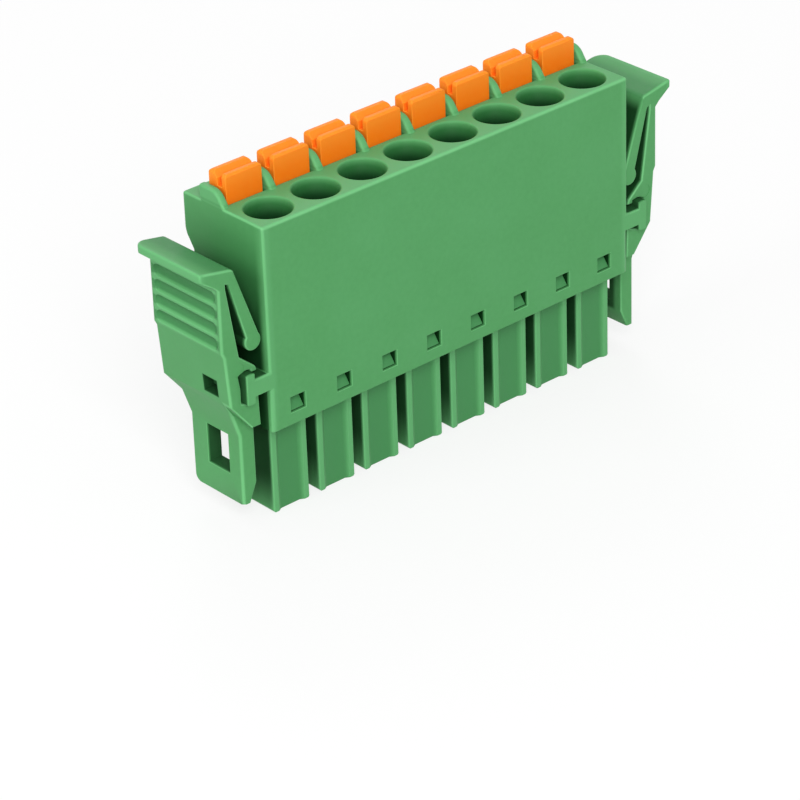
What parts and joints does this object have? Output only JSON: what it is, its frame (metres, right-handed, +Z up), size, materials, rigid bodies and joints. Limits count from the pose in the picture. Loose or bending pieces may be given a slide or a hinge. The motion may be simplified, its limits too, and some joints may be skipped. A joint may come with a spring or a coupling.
{
  "type": "pluggable terminal block",
  "caption": "Wire-side plug of a two-part board connector with a row of push-in spring clamps, release buttons and a rocking latch lever at each end.",
  "frame": {"origin": "centre of the bounding box's base: the level of the finger tips, midway along the row and midway front to back", "axes": "+X along the row of poles, +Y from the front wall to the back, +Z up, the way the wires leave"},
  "size_m": [0.0402, 0.0076, 0.0225],
  "materials": {
    "housing_plastic": "satin moulded polyamide",
    "carrier_plastic": "satin moulded polyamide",
    "lever_plastic": "satin moulded polyamide",
    "button_plastic": "satin moulded polyamide",
    "spring_steel": "rolled stainless strip",
    "tinned_contact": "bright tin plating on copper alloy"
  },
  "bodies": {
    "plug_body": {"housing": "housing_plastic", "contact_carrier": "carrier_plastic", "contact_1": "tinned_contact", "contact_2": "tinned_contact", "contact_3": "tinned_contact", "contact_4": "tinned_contact", "contact_5": "tinned_contact", "contact_6": "tinned_contact", "contact_7": "tinned_contact", "contact_8": "tinned_contact", "clamp_spring_1": "spring_steel", "clamp_spring_2": "spring_steel", "clamp_spring_3": "spring_steel", "clamp_spring_4": "spring_steel", "clamp_spring_5": "spring_steel", "clamp_spring_6": "spring_steel", "clamp_spring_7": "spring_steel", "clamp_spring_8": "spring_steel"},
    "lever_left": {"lever_left": "lever_plastic", "lever_left_spring_leg": "lever_plastic"},
    "lever_right": {"lever_right": "lever_plastic", "lever_right_spring_leg": "lever_plastic"},
    "release_button_1": {"release_button_1": "button_plastic"},
    "release_button_2": {"release_button_2": "button_plastic"},
    "release_button_3": {"release_button_3": "button_plastic"},
    "release_button_4": {"release_button_4": "button_plastic"},
    "release_button_5": {"release_button_5": "button_plastic"},
    "release_button_6": {"release_button_6": "button_plastic"},
    "release_button_7": {"release_button_7": "button_plastic"},
    "release_button_8": {"release_button_8": "button_plastic"}
  },
  "joints": [
    {"name": "button_1_press", "type": "slide", "parent": "plug_body", "child": "release_button_1", "axis": [0, 0, -1], "range_m": [0, 0.001], "stiffness_N_per_m": 5000, "deforming": ["clamp_spring_1"]},
    {"name": "button_2_press", "type": "slide", "parent": "plug_body", "child": "release_button_2", "axis": [0, 0, -1], "range_m": [0, 0.001], "stiffness_N_per_m": 5000, "deforming": ["clamp_spring_2"]},
    {"name": "button_3_press", "type": "slide", "parent": "plug_body", "child": "release_button_3", "axis": [0, 0, -1], "range_m": [0, 0.001], "stiffness_N_per_m": 5000, "deforming": ["clamp_spring_3"]},
    {"name": "button_4_press", "type": "slide", "parent": "plug_body", "child": "release_button_4", "axis": [0, 0, -1], "range_m": [0, 0.001], "stiffness_N_per_m": 5000, "deforming": ["clamp_spring_4"]},
    {"name": "button_5_press", "type": "slide", "parent": "plug_body", "child": "release_button_5", "axis": [0, 0, -1], "range_m": [0, 0.001], "stiffness_N_per_m": 5000, "deforming": ["clamp_spring_5"]},
    {"name": "button_6_press", "type": "slide", "parent": "plug_body", "child": "release_button_6", "axis": [0, 0, -1], "range_m": [0, 0.001], "stiffness_N_per_m": 5000, "deforming": ["clamp_spring_6"]},
    {"name": "button_7_press", "type": "slide", "parent": "plug_body", "child": "release_button_7", "axis": [0, 0, -1], "range_m": [0, 0.001], "stiffness_N_per_m": 5000, "deforming": ["clamp_spring_7"]},
    {"name": "button_8_press", "type": "slide", "parent": "plug_body", "child": "release_button_8", "axis": [0, 0, -1], "range_m": [0, 0.001], "stiffness_N_per_m": 5000, "deforming": ["clamp_spring_8"]},
    {"name": "lever_left_rock", "type": "hinge", "parent": "plug_body", "child": "lever_left", "pos_m": [-0.01697, 0, 0.01018], "axis": [0, 1, 0], "range_deg": [0, 10], "stiffness_Nm_per_rad": 0.2, "deforming": ["lever_left_spring_leg"]},
    {"name": "lever_right_rock", "type": "hinge", "parent": "plug_body", "child": "lever_right", "pos_m": [0.01697, 0, 0.01018], "axis": [0, -1, 0], "range_deg": [0, 10], "stiffness_Nm_per_rad": 0.2, "deforming": ["lever_right_spring_leg"]}
  ]
}
